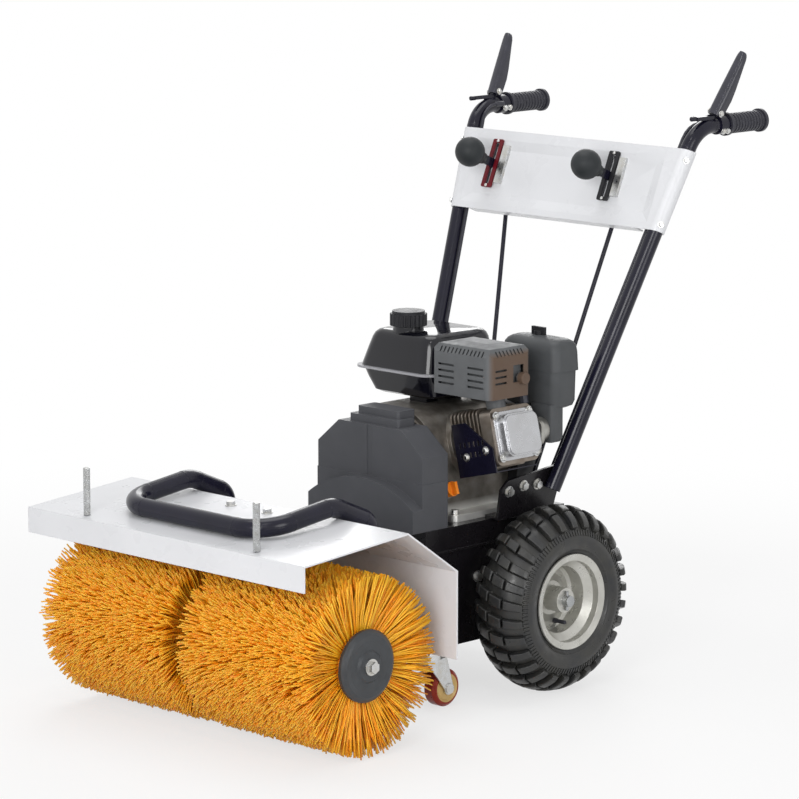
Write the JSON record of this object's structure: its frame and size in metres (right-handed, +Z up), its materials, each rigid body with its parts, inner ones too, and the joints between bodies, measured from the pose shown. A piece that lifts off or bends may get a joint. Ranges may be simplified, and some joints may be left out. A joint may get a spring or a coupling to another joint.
{
  "type": "power brush sweeper",
  "caption": "Walk-behind power brush sweeper with a petrol engine, lugged drive wheels, a split rotary brush under a white hood and a leaning handle with clutch and gate levers.",
  "frame": {"origin": "on the ground under the middle of the machine's overall box", "axes": "+X to the machine's left, +Y to the rear where the grips are, +Z up; the brush is at the -Y end"},
  "size_m": [0.68, 1.21, 1.1004],
  "materials": {
    "black_paint": "semi-gloss black paint",
    "white_paint": "white gloss paint",
    "cover_plastic": "dark grey moulded plastic",
    "zinc": "bright zinc plating",
    "bare_steel": "machined steel",
    "cast_iron": "plain casting",
    "rim_paint": "silver paint",
    "tyre": "black rubber tyre",
    "black_rubber": "black rubber",
    "bristle": "orange-yellow bristle plastic",
    "black_plastic": "black moulded plastic",
    "tank_black": "gloss black",
    "castor_tread": "red-brown tread",
    "engine_alloy": "cast alloy",
    "muffler_steel": "light grey sheet steel",
    "grey_plastic": "dark grey plastic",
    "red_plastic": "red plastic",
    "orange_plastic": "orange plastic"
  },
  "bodies": {
    "frame": {"chassis": "black_paint", "belt_cover": "cover_plastic", "boom": "black_paint", "gear_case": "cast_iron", "hood": "white_paint", "hood_studs": "zinc", "bumper": "black_paint", "bolts": "zinc", "brush_belt": "black_rubber", "crankcase": "engine_alloy", "cylinder_block": "engine_alloy", "valve_cover": "bare_steel", "cylinder_shroud": "black_paint", "recoil_cover": "black_plastic", "fuel_tank": "tank_black", "muffler": "muffler_steel", "air_cleaner_base": "grey_plastic", "air_cleaner_cover": "grey_plastic", "carburettor": "engine_alloy", "spark_lead": "black_rubber", "handle_bracket_left": "black_paint", "handle_bracket_right": "black_paint", "handle_tube_left": "black_paint", "handle_tube_right": "black_paint", "grip_left": "black_rubber", "grip_right": "black_rubber", "control_panel": "white_paint", "gate_strip_left": "black_plastic", "gate_strip_right": "red_plastic", "clutch_cables": "black_rubber"},
    "wheels": {"axle": "bare_steel", "rim_left": "rim_paint", "rim_right": "rim_paint", "tyre_left": "tyre", "tyre_right": "tyre", "valve_stems": "black_rubber"},
    "brush": {"brush_shaft": "bare_steel", "bristles_left": "bristle", "bristles_right": "bristle", "brush_disc_left": "black_plastic", "brush_disc_right": "black_plastic", "brush_bolts": "zinc"},
    "brush_drive": {"brush_pulley": "cast_iron"},
    "crank": {"crank_pulley": "cast_iron"},
    "fuel_cap": {"fuel_cap": "black_plastic"},
    "oil_cap": {"oil_cap": "orange_plastic"},
    "filter_knob": {"air_cleaner_knob": "black_plastic"},
    "starter_grip": {"recoil_grip": "black_plastic"},
    "castor_left_swivel": {"castor_fork_left": "zinc"},
    "castor_left_wheel": {"castor_wheel_left": "castor_tread"},
    "clutch_left": {"clutch_lever_left": "black_paint"},
    "gate_left": {"gate_lever_left": "black_paint", "knob_left": "grey_plastic"},
    "rod_left": {"shift_rod_left": "black_paint"},
    "castor_right_swivel": {"castor_fork_right": "zinc"},
    "castor_right_wheel": {"castor_wheel_right": "castor_tread"},
    "clutch_right": {"clutch_lever_right": "black_paint"},
    "gate_right": {"gate_lever_right": "black_paint", "knob_right": "grey_plastic"},
    "rod_right": {"shift_rod_right": "black_paint"}
  },
  "joints": [
    {"name": "wheels_spin", "type": "hinge", "parent": "frame", "child": "wheels", "pos_m": [0, 0.116, 0.165], "axis": [1, 0, 0], "continuous": true},
    {"name": "brush_spin", "type": "hinge", "parent": "frame", "child": "brush", "pos_m": [0, -0.441, 0.157], "axis": [1, 0, 0], "continuous": true},
    {"name": "brush_drive_spin", "type": "hinge", "parent": "frame", "child": "brush_drive", "pos_m": [0, -0.079, 0.157], "axis": [0, 1, 0], "continuous": true},
    {"name": "crank_spin", "type": "hinge", "parent": "frame", "child": "crank", "pos_m": [0, -0.079, 0.414], "axis": [0, 1, 0], "continuous": true},
    {"name": "castor_left_swivel", "type": "hinge", "parent": "frame", "child": "castor_left_swivel", "pos_m": [0.156, -0.132, 0.1], "axis": [0, 0, 1], "continuous": true},
    {"name": "castor_left_spin", "type": "hinge", "parent": "castor_left_swivel", "child": "castor_left_wheel", "pos_m": [0.156, -0.1, 0.033], "axis": [1, 0, 0], "continuous": true},
    {"name": "clutch_left_squeeze", "type": "hinge", "parent": "frame", "child": "clutch_left", "pos_m": [0.26911, 0.478, 0.99374], "axis": [-0.9888, 0, 0.1495], "range_deg": [0, 40], "stiffness_Nm_per_rad": 1.2, "springref_deg": -14.32},
    {"name": "gate_left_shift", "type": "hinge", "parent": "frame", "child": "gate_left", "pos_m": [0.112, 0.44309, 0.8464], "axis": [1, 0, 0], "range_deg": [-20, 20]},
    {"name": "rod_left_slide", "type": "slide", "parent": "frame", "child": "rod_left", "axis": [-0.0237, -0.4085, -0.9125], "range_m": [-0.016, 0.016]},
    {"name": "castor_right_swivel", "type": "hinge", "parent": "frame", "child": "castor_right_swivel", "pos_m": [-0.156, -0.132, 0.1], "axis": [0, 0, 1], "continuous": true},
    {"name": "castor_right_spin", "type": "hinge", "parent": "castor_right_swivel", "child": "castor_right_wheel", "pos_m": [-0.156, -0.1, 0.033], "axis": [1, 0, 0], "continuous": true},
    {"name": "clutch_right_squeeze", "type": "hinge", "parent": "frame", "child": "clutch_right", "pos_m": [-0.26911, 0.478, 0.99374], "axis": [-0.9888, 0, -0.1495], "range_deg": [0, 40], "stiffness_Nm_per_rad": 1.2, "springref_deg": -14.32},
    {"name": "gate_right_shift", "type": "hinge", "parent": "frame", "child": "gate_right", "pos_m": [-0.172, 0.44309, 0.8464], "axis": [1, 0, 0], "range_deg": [-20, 20]},
    {"name": "rod_right_slide", "type": "slide", "parent": "frame", "child": "rod_right", "axis": [0.167, -0.3026, -0.9384], "range_m": [-0.016, 0.016]},
    {"name": "fuel_cap_turn", "type": "hinge", "parent": "frame", "child": "fuel_cap", "pos_m": [-0.06, 0.038, 0.628], "axis": [0, 0, 1], "range_deg": [0, 90]},
    {"name": "oil_cap_turn", "type": "hinge", "parent": "frame", "child": "oil_cap", "pos_m": [0.09053, -0.016, 0.35827], "axis": [0.9511, 0, 0.309], "range_deg": [0, 90]},
    {"name": "filter_knob_turn", "type": "hinge", "parent": "frame", "child": "filter_knob", "pos_m": [0.131, 0.17, 0.616], "axis": [0, 0, 1], "range_deg": [0, 90]},
    {"name": "starter_pull", "type": "slide", "parent": "frame", "child": "starter_grip", "axis": [0, 1, 0], "range_m": [0, 0.05], "stiffness_N_per_m": 60, "springref_m": -0.03}
  ],
  "couplings": [
    {"joint": "brush_drive_spin", "follows": "brush_spin", "ratio": 2},
    {"joint": "rod_left_slide", "follows": "gate_left_shift", "m_per_rad": 0.040018},
    {"joint": "rod_right_slide", "follows": "gate_right_shift", "m_per_rad": 0.040739}
  ]
}
